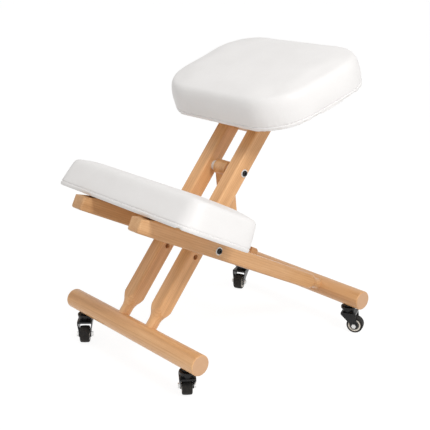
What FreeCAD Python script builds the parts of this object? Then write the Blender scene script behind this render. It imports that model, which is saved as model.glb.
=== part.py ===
import FreeCAD, Part

import math
import os

os.makedirs("parts", exist_ok=True)

Vector = FreeCAD.Vector
Rotation = FreeCAD.Rotation
Placement = FreeCAD.Placement

# A kneeling chair: two crossed beech frames on four swivel casters, with a white
# upholstered seat and knee pad. X is across the chair, +Y is the back, +Z is up.
# All lengths are millimetres and all angles are degrees.

# Fits
RUNNING_FIT = 0.05
FACE_GAP = 0.3
SOFT_GAP = 0.3
FUSE_LAP = 0.5

# Foot bars
BAR_RADIUS = 22.5
BAR_LENGTH = 460.0
BAR_EDGE_ROUND = 3.5
BAR_HEIGHT = 89.7
WHEELBASE = 497.0

# Seat arms, the inner pair
SEAT_ARM_ANGLE = 50.8
SEAT_ARM_WIDTH = 34.0
SEAT_ARM_DEPTH = 38.0
SEAT_ARM_SPACING = 97.5

# Knee arms, the outer pair
KNEE_ARM_ANGLE = 26.8
KNEE_ARM_WIDTH = 36.0
KNEE_ARM_DEPTH = 36.0
KNEE_ARM_SPACING = 203.0
KNEE_ARM_LENGTH = 622.0
KNEE_ARM_TIP_ROUND = 4.5
KNEE_ARM_EASE_DROP = 8.0
KNEE_ARM_EASE_LENGTH = 38.0

# Turned ends of the arms
ARM_EDGE_ROUND = 5.0
NECK_RADIUS = 13.0
NECK_LENGTH = 16.0
SHOULDER_LENGTH = 44.0
TENON_RADIUS = 11.0
TENON_DEPTH = 19.0
TENON_LAP = 2.0
ARM_ROOT = BAR_RADIUS * 0.6

# The shoulder's ogee, as shares of its flare and of its length
HOLLOW_MIDDLE = (0.12, 0.18)
OGEE_TURN = (0.45, 0.38)
BULGE_MIDDLE = (0.83, 0.66)

# Main pivot and its spare holes
PIVOT_SLEEVE_RADIUS = 6.0
PIVOT_BOLT_RADIUS = 3.0
SPARE_HOLE_OFFSET = 31.0
HEAD_RADIUS = 6.5
HEAD_HEIGHT = 3.5
HEX_KEY_SIZE = 5.0
HEX_KEY_DEPTH = 2.5
HEAD_ROUND = HEAD_HEIGHT * 0.45
WASHER_RADIUS = 9.0
WASHER_THICKNESS = 1.2
PIVOT_SPACER_RADIUS = 14.0
SLEEVE_RECESS = 2.0
SLEEVE_FLANGE_RADIUS = 8.0
SLEEVE_FLANGE_THICKNESS = 2.0

# Adjusting strut
STRUT_PIVOT_ALONG = 413.0
STRUT_PIVOT_OFFSET = -6.5
STRUT_WIDTH = 36.0
STRUT_HEAD_RADIUS = 17.0
STRUT_LEG_DEPTH = 23.0
STRUT_FOOT_RADIUS = 14.0
STRUT_SPACER_RADIUS = 11.5
FOOT_DOWEL_RADIUS = 8.0
FOOT_DOWEL_REACH = 2.0
FOOT_DOWEL_ROUND = 1.5

# Notched racks that the strut stands in
RACK_THICKNESS = 18.0
RACK_GAP = 1.0
NOTCH_COUNT = 4
NOTCH_PITCH = 28.0
NOTCH_IN_USE = 1
NOTCH_REST_ALONG = 247.0
RAMP_ANGLE = 53.0
NOTCH_AXIS_HEIGHT = 22.0
RACK_TOP_HEIGHT = 31.0
RACK_BASE_HEIGHT = 3.0
RACK_END_MARGIN = 22.0
RACK_END_ROUND = 9.0
RACK_RAIL_LENGTHWISE = 24.0
RACK_RAIL_HEIGHT = 18.0
RACK_RAIL_ROUND = 3.0
RAIL_TENON_RADIUS = 7.0
RAIL_TENON_LENGTH = 12.0

# Seat
SEAT_TILT = 18.0
SEAT_BACK = 388.0
SEAT_HEIGHT = 558.4
SEAT_FRONT_WIDTH = 408.0
SEAT_REAR_WIDTH = 440.0
SEAT_DEPTH = 308.0
SEAT_CORNER_RADIUS = 100.0
SEAT_THICKNESS = 78.0
SEAT_RAIL_DROP = 71.6
SEAT_RAIL_LENGTHWISE = 36.0
SEAT_RAIL_HEIGHT = 24.0
SEAT_RAIL_ROUND = 2.0

# Knee pad
KNEE_PAD_WIDTH = 470.0
KNEE_PAD_REAR = 404.0
KNEE_PAD_FRONT = 608.0
KNEE_PAD_CORNER_RADIUS = 40.0
KNEE_PAD_REAR_WAIST = 17.0
KNEE_PAD_THICKNESS = 74.0

# Upholstery common to both pads
BOARD_THICKNESS = 12.0
BOARD_INSET = 9.0
CUSHION_CROWN = 8.0
CUSHION_TOP_INSET = 15.0
SEAM_HEIGHT = 9.0
SIDE_TUCK = 4.0

# A pad's side above its seam, as shares of the side's height and of the top's inset
PAD_SIDE_LAYERS = [(0.35, 0.0), (0.68, 0.30), (0.94, 0.85)]

# A pad's crown, as shares of the crown's height and distances in from the top's edge
PAD_CROWN_LAYERS = [(0.25, 8.0), (0.72, 38.0), (1.0, 72.0)]

# Wood screws
SCREW_RADIUS = 2.5
SCREW_HEAD_RADIUS = 4.5
SCREW_LENGTH = 32.0
SCREW_KEY_DEPTH = 1.2

# Casters
STEM_INSET = 42.5
WHEEL_RADIUS = 20.0
WHEEL_WIDTH = 22.0
TYRE_DEPTH = 5.0
HUB_RING_STAND = 0.8
HUB_BOSS_RADIUS = 7.0
GUARD_RADIUS = 11.2
GUARD_THICKNESS = 2.2
HUB_RIM_THICKNESS = 3.5
HUB_RIM_SET_BACK = 0.5
HUB_WEB_SET_BACK = 2.5
TYRE_INNER_BEVEL = 1.0
TYRE_SIDE_BEVEL = 2.0
TYRE_CROWN_DROP = 0.5
TYRE_CROWN_WIDTH = 12.0
TRAIL = 18.4
STEM_RADIUS = 5.0
SOCKET_RADIUS = 7.5
SOCKET_LENGTH = 24.0
SOCKET_FLANGE_RADIUS = 10.5
SOCKET_FLANGE_THICKNESS = 2.0
FORK_WALL = 2.2
FORK_SIDE_GAP = 1.2
RACE_TOP_GAP = 1.0
RACE_RADIUS = 17.5
RACE_HEIGHT = 6.0
RACE_EDGE_ROUND = 1.5
FORK_NECK_RADIUS = 13.0
FORK_NECK_HEIGHT = 7.5
YOKE_THICKNESS = 4.5
YOKE_HALF_WIDTH = 17.4
YOKE_FRONT = 14.5
YOKE_BACK = 21.5
CHEEK_DROP = 2.0
AXLE_RADIUS = 3.0
AXLE_BOSS_RADIUS = 7.5
NUT_WIDTH = 10.0
NUT_HEIGHT = 4.5
AXLE_END_SET_BACK = 0.5
CASTER_ANGLES = {
    "front_left": -40.0,
    "front_right": 144.0,
    "rear_left": -62.0,
    "rear_right": 28.0,
}

# Places worked out from the sizes above
SEAT_SIN = math.sin(math.radians(SEAT_ARM_ANGLE))
SEAT_COS = math.cos(math.radians(SEAT_ARM_ANGLE))
KNEE_SIN = math.sin(math.radians(KNEE_ARM_ANGLE))
KNEE_COS = math.cos(math.radians(KNEE_ARM_ANGLE))
CROSSING_SIN = math.sin(math.radians(SEAT_ARM_ANGLE + KNEE_ARM_ANGLE))
PIVOT_ON_SEAT_ARM = WHEELBASE * KNEE_SIN / CROSSING_SIN
PIVOT_ON_KNEE_ARM = WHEELBASE * SEAT_SIN / CROSSING_SIN
SEAT_ARM_X = SEAT_ARM_SPACING / 2
SEAT_ARM_OUTER = SEAT_ARM_X + SEAT_ARM_WIDTH / 2
SEAT_ARM_INNER = SEAT_ARM_X - SEAT_ARM_WIDTH / 2
KNEE_ARM_X = KNEE_ARM_SPACING / 2
KNEE_ARM_OUTER = KNEE_ARM_X + KNEE_ARM_WIDTH / 2
KNEE_ARM_INNER = KNEE_ARM_X - KNEE_ARM_WIDTH / 2
KNEE_ARM_TOP = KNEE_ARM_DEPTH / 2
SEAT_TILT_SIN = math.sin(math.radians(SEAT_TILT))
SEAT_TILT_COS = math.cos(math.radians(SEAT_TILT))
RACK_INNER = STRUT_WIDTH / 2 + RACK_GAP
RACK_OUTER = RACK_INNER + RACK_THICKNESS
STEM_X = BAR_LENGTH / 2 - STEM_INSET
BAR_BOTTOM = BAR_HEIGHT - BAR_RADIUS
RACE_TOP = BAR_BOTTOM - SOCKET_FLANGE_THICKNESS - RACE_TOP_GAP
RACE_LOW = RACE_TOP - RACE_HEIGHT
YOKE_TOP = RACE_LOW - FORK_NECK_HEIGHT
YOKE_LOW = YOKE_TOP - YOKE_THICKNESS

# The row's origin is on the floor, under the middle of the whole chair
TIP_CENTRE_ALONG = KNEE_ARM_LENGTH - KNEE_ARM_TIP_ROUND
TIP_CENTRE_BELOW = KNEE_ARM_DEPTH / 2 - KNEE_ARM_TIP_ROUND
FRONT_REACH = WHEELBASE - TIP_CENTRE_ALONG * KNEE_COS - TIP_CENTRE_BELOW * KNEE_SIN - KNEE_ARM_TIP_ROUND
REAR_REACH = SEAT_BACK + (SEAT_DEPTH / 2 - SIDE_TUCK) * SEAT_TILT_COS
ORIGIN_Y = (FRONT_REACH + REAR_REACH) / 2

# Placements: local x across, local y along the arm, local z out of its upper side
SEAT_ARM_PLACE = Placement(
    Vector(0, -ORIGIN_Y, BAR_HEIGHT),
    Rotation(Vector(1, 0, 0), SEAT_ARM_ANGLE),
)
KNEE_ARM_PLACE = Placement(
    Vector(0, WHEELBASE - ORIGIN_Y, BAR_HEIGHT),
    Rotation(Vector(1, 0, 0), -KNEE_ARM_ANGLE).multiply(Rotation(Vector(0, 0, 1), 180)),
)
SEAT_PLACE = Placement(
    Vector(0, SEAT_BACK - ORIGIN_Y, SEAT_HEIGHT),
    Rotation(Vector(1, 0, 0), SEAT_TILT),
)
FRONT_BAR_PLACE = Placement(Vector(0, -ORIGIN_Y, BAR_HEIGHT), Rotation())
REAR_BAR_PLACE = Placement(Vector(0, WHEELBASE - ORIGIN_Y, BAR_HEIGHT), Rotation())

nodes = {}


def placed(shape, place):
    """Return a copy of the shape moved from its local frame to the chair's frame."""
    moved = shape.copy()
    moved.Placement = place.multiply(moved.Placement)
    return moved


def block(x_low, x_high, y_low, y_high, z_low, z_high):
    """Return a box between two corners."""
    size = Vector(x_high - x_low, y_high - y_low, z_high - z_low)
    return Part.makeBox(size.x, size.y, size.z, Vector(x_low, y_low, z_low))


def rod_x(radius, x_low, x_high, y, z):
    """Return a rod that runs across the chair."""
    return Part.makeCylinder(radius, x_high - x_low, Vector(x_low, y, z), Vector(1, 0, 0))


def edges_along(shape, direction):
    """Return the straight edges that run along a direction."""
    found = []
    for edge in shape.Edges:
        if not isinstance(edge.Curve, Part.Line):
            continue
        if abs(edge.tangentAt(edge.FirstParameter).dot(direction)) > 0.999:
            found.append(edge)
    return found


def group(shapes):
    """Return several separate solids as one shape."""
    return Part.makeCompound(shapes)


def mirrored_pair(shape):
    """Return a solid and its mirror image across the chair."""
    return group([shape, shape.mirror(Vector(0, 0, 0), Vector(1, 0, 0))])


def turned_arm(width, depth, length):
    """Return a square arm along +Y whose near end is turned down to a neck and tenon.

    The foot bar's axis is at y = 0. The neck leaves the bar's surface, and the shoulder
    is the turned shape that the square section grows out of.
    """
    neck_end = BAR_RADIUS + NECK_LENGTH
    shoulder_end = neck_end + SHOULDER_LENGTH
    half_diagonal = math.hypot(width, depth) / 2
    body = block(-width / 2, width / 2, ARM_ROOT, length, -depth / 2, depth / 2)
    body = body.makeFillet(ARM_EDGE_ROUND, edges_along(body, Vector(0, 1, 0)))
    flare = half_diagonal - NECK_RADIUS
    neck_low = Vector(NECK_RADIUS, ARM_ROOT, 0)
    neck_high = Vector(NECK_RADIUS, neck_end, 0)
    on_shoulder = []
    for out, along in (HOLLOW_MIDDLE, OGEE_TURN, BULGE_MIDDLE):
        on_shoulder.append(Vector(NECK_RADIUS + flare * out, neck_end + SHOULDER_LENGTH * along, 0))
    hollow_middle, ogee_turn, bulge_middle = on_shoulder
    shoulder_top = Vector(half_diagonal, shoulder_end, 0)
    far_corner = Vector(half_diagonal, length + 1, 0)
    profile = Part.Wire([
        Part.makeLine(Vector(0, neck_low.y, 0), neck_low),
        Part.makeLine(neck_low, neck_high),
        Part.Arc(neck_high, hollow_middle, ogee_turn).toShape(),
        Part.Arc(ogee_turn, bulge_middle, shoulder_top).toShape(),
        Part.makeLine(shoulder_top, far_corner),
        Part.makeLine(far_corner, Vector(0, far_corner.y, 0)),
        Part.makeLine(Vector(0, far_corner.y, 0), Vector(0, neck_low.y, 0)),
    ])
    turned = Part.Face(profile).revolve(Vector(0, 0, 0), Vector(0, 1, 0), 360)
    body = body.common(turned)
    body = body.cut(Part.makeCylinder(BAR_RADIUS, width * 2, Vector(-width, 0, 0), Vector(1, 0, 0)))
    tenon_start = BAR_RADIUS - TENON_DEPTH
    tenon_length = TENON_DEPTH + TENON_LAP
    tenon = Part.makeCylinder(TENON_RADIUS, tenon_length, Vector(0, tenon_start, 0), Vector(0, 1, 0))
    return body.fuse(tenon).removeSplitter()


def foot_bar(arm_spacing, arm_place_turn):
    """Return a foot bar with its tenon holes and caster sockets, axis through the origin."""
    bar = rod_x(BAR_RADIUS, -BAR_LENGTH / 2, BAR_LENGTH / 2, 0, 0)
    rims = [edge for edge in bar.Edges if isinstance(edge.Curve, Part.Circle)]
    bar = bar.makeFillet(BAR_EDGE_ROUND, rims)
    toward_arm = arm_place_turn.multVec(Vector(0, 1, 0))
    for side in (-1, 1):
        start = toward_arm * (BAR_RADIUS - TENON_DEPTH) + Vector(side * arm_spacing / 2, 0, 0)
        bar = bar.cut(Part.makeCylinder(TENON_RADIUS, TENON_DEPTH + 1, start, toward_arm))
        socket_low = Vector(side * STEM_X, 0, -BAR_RADIUS - 1)
        bar = bar.cut(Part.makeCylinder(SOCKET_RADIUS, SOCKET_LENGTH + 1, socket_low))
    return bar


def hex_prism(width, height, place):
    """Return a hexagonal prism, width across its flats, standing on z = 0 of a placement."""
    reach = width / math.sqrt(3)
    points = []
    for corner in range(7):
        turn = math.radians(60 * corner)
        points.append(Vector(reach * math.cos(turn), reach * math.sin(turn), 0))
    prism = Part.Face(Part.makePolygon(points)).extrude(Vector(0, 0, height))
    return placed(prism, place)


def socket_head(x_face, side, y, z):
    """Return a domed bolt head with a hexagon socket, seated on a face that looks along X."""
    head = Part.makeCylinder(HEAD_RADIUS, HEAD_HEIGHT)
    rim = [edge for edge in head.Edges if edge.BoundBox.ZMin > HEAD_HEIGHT / 2]
    head = head.makeFillet(HEAD_ROUND, [edge for edge in rim if isinstance(edge.Curve, Part.Circle)])
    key = hex_prism(HEX_KEY_SIZE, HEX_KEY_DEPTH + 1, Placement())
    key.translate(Vector(0, 0, HEAD_HEIGHT - HEX_KEY_DEPTH))
    head = head.cut(key)
    turn = Rotation(Vector(0, 1, 0), 90 * side)
    return placed(head, Placement(Vector(x_face, y, z), turn))


def ring_x(outer, inner, x_low, x_high, y, z):
    """Return a flat ring on an axis across the chair."""
    return rod_x(outer, x_low, x_high, y, z).cut(rod_x(inner, x_low, x_high, y, z))


def screw_hole(length):
    """Return the plain shape of a countersunk wood screw, its face at z = 0."""
    head_height = SCREW_HEAD_RADIUS - SCREW_RADIUS
    head = Part.makeCone(SCREW_RADIUS, SCREW_HEAD_RADIUS, head_height, Vector(0, 0, -head_height))
    shank = Part.makeCylinder(SCREW_RADIUS, length - head_height, Vector(0, 0, -length))
    return head.fuse(shank).removeSplitter()


def screw_group(length, places):
    """Return wood screws at several placements, and the plain holes that they fill."""
    key_place = Placement(Vector(0, 0, -SCREW_KEY_DEPTH), Rotation())
    key = hex_prism(SCREW_RADIUS, SCREW_KEY_DEPTH, key_place)
    hole = screw_hole(length)
    screw = hole.cut(key)
    screws = group([placed(screw, place) for place in places])
    holes = group([placed(hole, place) for place in places])
    return screws, holes


def rounded_outline(front_width, rear_width, depth, radius, waist, z):
    """Return a closed outline with four rounded corners, its front at -y.

    The rear edge bows inwards by the waist, if there is one.
    """
    corners = [
        Vector(-front_width / 2, -depth / 2, z),
        Vector(front_width / 2, -depth / 2, z),
        Vector(rear_width / 2, depth / 2, z),
        Vector(-rear_width / 2, depth / 2, z),
    ]
    starts = []
    ends = []
    arcs = []
    for index, corner in enumerate(corners):
        before = (corners[index - 1] - corner).normalize()
        after = (corners[(index + 1) % 4] - corner).normalize()
        half_angle = before.getAngle(after) / 2
        setback = radius / math.tan(half_angle)
        centre_way = (before + after).normalize()
        centre = corner + centre_way * (radius / math.sin(half_angle))
        start = corner + before * setback
        end = corner + after * setback
        middle = centre - centre_way * radius
        starts.append(start)
        ends.append(end)
        arcs.append(Part.Arc(start, middle, end).toShape())
    edges = []
    for index in range(4):
        edges.append(arcs[index])
        a = ends[index]
        b = starts[(index + 1) % 4]
        if index == 2 and waist > 0:
            middle = Vector(0, depth / 2 - waist, z)
            edges.append(Part.Arc(a, middle, b).toShape())
        else:
            edges.append(Part.makeLine(a, b))
    return Part.Wire(edges)


def cushion(front_width, rear_width, depth, radius, waist, thickness):
    """Return an upholstered pad: sides drawn in at the seam, a soft shoulder and a crown.

    Each layer is a height above the board's underside and how far it is drawn in.
    """
    side_top = thickness - CUSHION_CROWN
    layers = [(0.0, SIDE_TUCK), (SEAM_HEIGHT, SIDE_TUCK / 2)]
    for height, inset in PAD_SIDE_LAYERS:
        layers.append((SEAM_HEIGHT + (side_top - SEAM_HEIGHT) * height, CUSHION_TOP_INSET * inset))
    for height, inset in PAD_CROWN_LAYERS:
        layers.append((side_top + CUSHION_CROWN * height, CUSHION_TOP_INSET + inset))
    wires = []
    for height, inset in layers:
        corner = max(radius - inset, radius * 0.25)
        wires.append(rounded_outline(
            front_width - 2 * inset,
            rear_width - 2 * inset,
            depth - 2 * inset,
            corner,
            waist * (1 - inset / (depth / 2)),
            height,
        ))
    body = Part.makeLoft(wires, True, True)
    pocket = board(front_width, rear_width, depth, radius, waist, BOARD_THICKNESS + SOFT_GAP, SOFT_GAP)
    return body.cut(pocket)


def board(front_width, rear_width, depth, radius, waist, thickness, grow):
    """Return the plywood board that a pad is built on, its underside at z = 0."""
    inset = BOARD_INSET - grow
    outline = rounded_outline(
        front_width - 2 * inset,
        rear_width - 2 * inset,
        depth - 2 * inset,
        radius - inset,
        waist,
        0,
    )
    return Part.Face(outline).extrude(Vector(0, 0, thickness))


def make_seat_frame():
    """Make the inner frame: front foot bar, two arms, their cross rail and the seat."""
    arm_turn = Rotation(Vector(1, 0, 0), SEAT_ARM_ANGLE)
    nodes["front_foot_bar"] = placed(foot_bar(SEAT_ARM_SPACING, arm_turn), FRONT_BAR_PLACE)

    rise = SEAT_HEIGHT - BAR_HEIGHT
    reach = rise * SEAT_TILT_COS - SEAT_BACK * SEAT_TILT_SIN
    arm_length = reach / (SEAT_SIN * SEAT_TILT_COS - SEAT_COS * SEAT_TILT_SIN)
    spare_along = PIVOT_ON_SEAT_ARM - SPARE_HOLE_OFFSET
    hole_radius = PIVOT_SLEEVE_RADIUS + RUNNING_FIT
    arm = turned_arm(SEAT_ARM_WIDTH, SEAT_ARM_DEPTH, arm_length + SEAT_ARM_DEPTH)
    half = SEAT_ARM_WIDTH
    arm = arm.cut(rod_x(hole_radius, -half, half, PIVOT_ON_SEAT_ARM, 0))
    arm = arm.cut(rod_x(hole_radius, -half, half, spare_along, 0))
    arm = arm.cut(rod_x(PIVOT_SLEEVE_RADIUS, -half, half, STRUT_PIVOT_ALONG, STRUT_PIVOT_OFFSET))
    reach_out = SEAT_FRONT_WIDTH
    above_seat = block(-reach_out, reach_out, -reach_out, reach_out, 0, reach_out)
    above_seat = placed(above_seat, SEAT_PLACE)
    for side, name in ((-1, "left"), (1, "right")):
        moved = arm.copy()
        moved.translate(Vector(side * SEAT_ARM_X, 0, 0))
        node = placed(moved, SEAT_ARM_PLACE).cut(above_seat)
        nodes["seat_arm_" + name] = node

    rail_along = arm_length - SEAT_RAIL_DROP
    rail = block(
        -SEAT_ARM_INNER, SEAT_ARM_INNER,
        rail_along - SEAT_RAIL_LENGTHWISE / 2, rail_along + SEAT_RAIL_LENGTHWISE / 2,
        -SEAT_RAIL_HEIGHT / 2, SEAT_RAIL_HEIGHT / 2,
    )
    rail = rail.makeFillet(SEAT_RAIL_ROUND, edges_along(rail, Vector(1, 0, 0)))
    nodes["seat_cross_rail"] = placed(rail, SEAT_ARM_PLACE).cut(above_seat)

    size = (SEAT_FRONT_WIDTH, SEAT_REAR_WIDTH, SEAT_DEPTH, SEAT_CORNER_RADIUS, 0.0)
    seat_board = board(*size, BOARD_THICKNESS, 0.0)
    arm_y = arm_length * SEAT_COS - SEAT_BACK
    arm_y = arm_y / SEAT_TILT_COS
    places = []
    for side in (-1, 1):
        for step in (-1, 1):
            along = arm_y + step * SEAT_ARM_DEPTH / 3
            on_board = Vector(side * SEAT_ARM_X, along, BOARD_THICKNESS)
            places.append(Placement(on_board, Rotation()))
    screws, holes = screw_group(SCREW_LENGTH, places)
    nodes["seat_screws"] = placed(screws, SEAT_PLACE)
    nodes["seat_board"] = placed(seat_board.cut(holes), SEAT_PLACE)
    nodes["seat_cushion"] = placed(cushion(*size, SEAT_THICKNESS), SEAT_PLACE)
    holes = placed(holes, SEAT_PLACE)
    for name in ("seat_arm_left", "seat_arm_right"):
        nodes[name] = nodes[name].cut(holes)


def make_knee_frame():
    """Make the outer frame: rear foot bar, two arms, the racks on their rails and the knee pad."""
    arm_turn = Rotation(Vector(1, 0, 0), 180 - KNEE_ARM_ANGLE)
    nodes["rear_foot_bar"] = placed(foot_bar(KNEE_ARM_SPACING, arm_turn), REAR_BAR_PLACE)

    arm = turned_arm(KNEE_ARM_WIDTH, KNEE_ARM_DEPTH, KNEE_ARM_LENGTH)
    half = KNEE_ARM_WIDTH
    arm = arm.cut(rod_x(PIVOT_SLEEVE_RADIUS, -half, half, PIVOT_ON_KNEE_ARM, 0))
    ease = Part.makePolygon([
        Vector(-half, KNEE_ARM_LENGTH + 1, KNEE_ARM_TOP - KNEE_ARM_EASE_DROP),
        Vector(-half, KNEE_ARM_LENGTH - KNEE_ARM_EASE_LENGTH, KNEE_ARM_TOP),
        Vector(-half, KNEE_ARM_LENGTH + 1, KNEE_ARM_TOP + 1),
        Vector(-half, KNEE_ARM_LENGTH + 1, KNEE_ARM_TOP - KNEE_ARM_EASE_DROP),
    ])
    arm = arm.cut(Part.Face(ease).extrude(Vector(2 * half, 0, 0)))
    tip_low = []
    for edge in edges_along(arm, Vector(1, 0, 0)):
        middle = edge.CenterOfMass
        if abs(middle.y - KNEE_ARM_LENGTH) < 1 and middle.z < 0:
            tip_low.append(edge)
    arm = arm.makeFillet(KNEE_ARM_TIP_ROUND, tip_low)

    rail_half = RACK_RAIL_LENGTHWISE / 2
    rail_top = RACK_BASE_HEIGHT
    rail_low = rail_top - RACK_RAIL_HEIGHT
    rail_mid = (rail_top + rail_low) / 2
    first_notch = NOTCH_REST_ALONG - NOTCH_IN_USE * NOTCH_PITCH
    last_notch = first_notch + (NOTCH_COUNT - 1) * NOTCH_PITCH
    rack_start = first_notch - FOOT_DOWEL_RADIUS - RACK_END_MARGIN
    rack_end = last_notch + FOOT_DOWEL_RADIUS + RACK_END_MARGIN
    rail_places = {"rear": rack_start + rail_half, "front": rack_end - rail_half}
    for name, along in rail_places.items():
        rail = block(
            -KNEE_ARM_INNER, KNEE_ARM_INNER,
            along - rail_half, along + rail_half,
            rail_low, rail_top,
        )
        rail = rail.makeFillet(RACK_RAIL_ROUND, edges_along(rail, Vector(1, 0, 0)))
        reach = KNEE_ARM_INNER + RAIL_TENON_LENGTH
        tenon = rod_x(RAIL_TENON_RADIUS, -reach, reach, along, rail_mid)
        rail = rail.fuse(tenon).removeSplitter()
        nodes["rack_rail_" + name] = placed(rail, KNEE_ARM_PLACE)

    for side, name in ((1, "left"), (-1, "right")):
        moved = arm.copy()
        moved.translate(Vector(side * KNEE_ARM_X, 0, 0))
        for along in rail_places.values():
            reach = KNEE_ARM_INNER + RAIL_TENON_LENGTH
            moved = moved.cut(rod_x(RAIL_TENON_RADIUS, -reach, reach, along, rail_mid))
        nodes["knee_arm_" + name] = placed(moved, KNEE_ARM_PLACE)

    notch_radius = FOOT_DOWEL_RADIUS + FACE_GAP
    rack = block(
        RACK_INNER, RACK_OUTER,
        rack_start, rack_end,
        RACK_BASE_HEIGHT, RACK_TOP_HEIGHT,
    )
    across = edges_along(rack, Vector(1, 0, 0))
    ends = [edge for edge in across if edge.CenterOfMass.z > RACK_TOP_HEIGHT - 1]
    rack = rack.makeFillet(RACK_END_ROUND, ends)
    lean = math.radians(RAMP_ANGLE)
    ramp_low_z = NOTCH_AXIS_HEIGHT - notch_radius * math.cos(lean)
    ramp_low = Vector(0, notch_radius * math.sin(lean), ramp_low_z)
    ramp_top = RACK_TOP_HEIGHT + FUSE_LAP
    ramp_reach = ramp_low.y + (ramp_top - ramp_low.z) / math.tan(lean)
    for notch in range(NOTCH_COUNT):
        along = first_notch + notch * NOTCH_PITCH
        rise = Part.makePolygon([
            Vector(RACK_INNER - 1, along - notch_radius, NOTCH_AXIS_HEIGHT),
            Vector(RACK_INNER - 1, along, NOTCH_AXIS_HEIGHT - notch_radius / 2),
            Vector(RACK_INNER - 1, along + ramp_low.y, ramp_low.z),
            Vector(RACK_INNER - 1, along + ramp_reach, ramp_top),
            Vector(RACK_INNER - 1, along - notch_radius, ramp_top),
            Vector(RACK_INNER - 1, along - notch_radius, NOTCH_AXIS_HEIGHT),
        ])
        rack = rack.cut(Part.Face(rise).extrude(Vector(RACK_THICKNESS + 2, 0, 0)))
        rack = rack.cut(rod_x(notch_radius, RACK_INNER - 1, RACK_OUTER + 1, along, NOTCH_AXIS_HEIGHT))

    rack_x = (RACK_INNER + RACK_OUTER) / 2
    places = []
    for side in (-1, 1):
        for along in rail_places.values():
            under_rail = Vector(side * rack_x, along, rail_low)
            places.append(Placement(under_rail, Rotation(Vector(1, 0, 0), 180)))
    screws, holes = screw_group(SCREW_LENGTH, places)
    nodes["rack_screws"] = placed(screws, KNEE_ARM_PLACE)
    other = rack.mirror(Vector(0, 0, 0), Vector(1, 0, 0))
    nodes["notched_rack_left"] = placed(rack.cut(holes), KNEE_ARM_PLACE)
    nodes["notched_rack_right"] = placed(other.cut(holes), KNEE_ARM_PLACE)
    holes = placed(holes, KNEE_ARM_PLACE)
    for name in rail_places:
        nodes["rack_rail_" + name] = nodes["rack_rail_" + name].cut(holes)

    depth = KNEE_PAD_FRONT - KNEE_PAD_REAR
    pad_place = KNEE_ARM_PLACE.multiply(Placement(
        Vector(0, (KNEE_PAD_FRONT + KNEE_PAD_REAR) / 2, KNEE_ARM_TOP),
        Rotation(Vector(0, 0, 1), 180),
    ))
    size = (KNEE_PAD_WIDTH, KNEE_PAD_WIDTH, depth, KNEE_PAD_CORNER_RADIUS, KNEE_PAD_REAR_WAIST)
    knee_board = board(*size, BOARD_THICKNESS, 0.0)
    places = []
    for side in (-1, 1):
        for step in (-1, 1):
            on_board = Vector(side * KNEE_ARM_X, step * depth / 4, BOARD_THICKNESS)
            places.append(Placement(on_board, Rotation()))
    screws, holes = screw_group(SCREW_LENGTH, places)
    nodes["knee_screws"] = placed(screws, pad_place)
    nodes["knee_board"] = placed(knee_board.cut(holes), pad_place)
    nodes["knee_cushion"] = placed(cushion(*size, KNEE_PAD_THICKNESS), pad_place)
    holes = placed(holes, pad_place)
    for name in ("knee_arm_left", "knee_arm_right"):
        nodes[name] = nodes[name].cut(holes)


def make_main_pivot():
    """Make the two pivot bolts, each through a knee arm and a seat arm."""
    y = PIVOT_ON_SEAT_ARM
    face = KNEE_ARM_OUTER + WASHER_THICKNESS
    washer = ring_x(WASHER_RADIUS, PIVOT_BOLT_RADIUS, KNEE_ARM_OUTER, face, y, 0)
    head = socket_head(face, 1, y, 0)
    shank_low = KNEE_ARM_INNER - SEAT_ARM_WIDTH
    shank = rod_x(PIVOT_BOLT_RADIUS, shank_low, face + FUSE_LAP, y, 0)
    bolt = head.fuse(shank).removeSplitter()
    sleeve_end = SEAT_ARM_INNER - FACE_GAP
    sleeve = rod_x(PIVOT_SLEEVE_RADIUS, sleeve_end, KNEE_ARM_OUTER - SLEEVE_RECESS, y, 0)
    flange = rod_x(SLEEVE_FLANGE_RADIUS, sleeve_end - SLEEVE_FLANGE_THICKNESS, sleeve_end, y, 0)
    sleeve = sleeve.fuse(flange).removeSplitter().cut(shank)
    spacer_low = SEAT_ARM_OUTER + FACE_GAP
    spacer = ring_x(PIVOT_SPACER_RADIUS, PIVOT_SLEEVE_RADIUS, spacer_low, KNEE_ARM_INNER, y, 0)
    nodes["pivot_washers"] = placed(mirrored_pair(washer), SEAT_ARM_PLACE)
    nodes["pivot_bolts"] = placed(mirrored_pair(bolt), SEAT_ARM_PLACE)
    nodes["pivot_sleeve_nuts"] = placed(mirrored_pair(sleeve), SEAT_ARM_PLACE)
    nodes["pivot_spacers"] = placed(mirrored_pair(spacer), SEAT_ARM_PLACE)


def strut_foot_in_arm_frame():
    """Return the rest place of the strut's foot, seen along and out of the seat arms."""
    foot = Vector(0, NOTCH_REST_ALONG, NOTCH_AXIS_HEIGHT)
    in_chair = KNEE_ARM_PLACE.multVec(foot)
    return SEAT_ARM_PLACE.inverse().multVec(in_chair)


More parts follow.
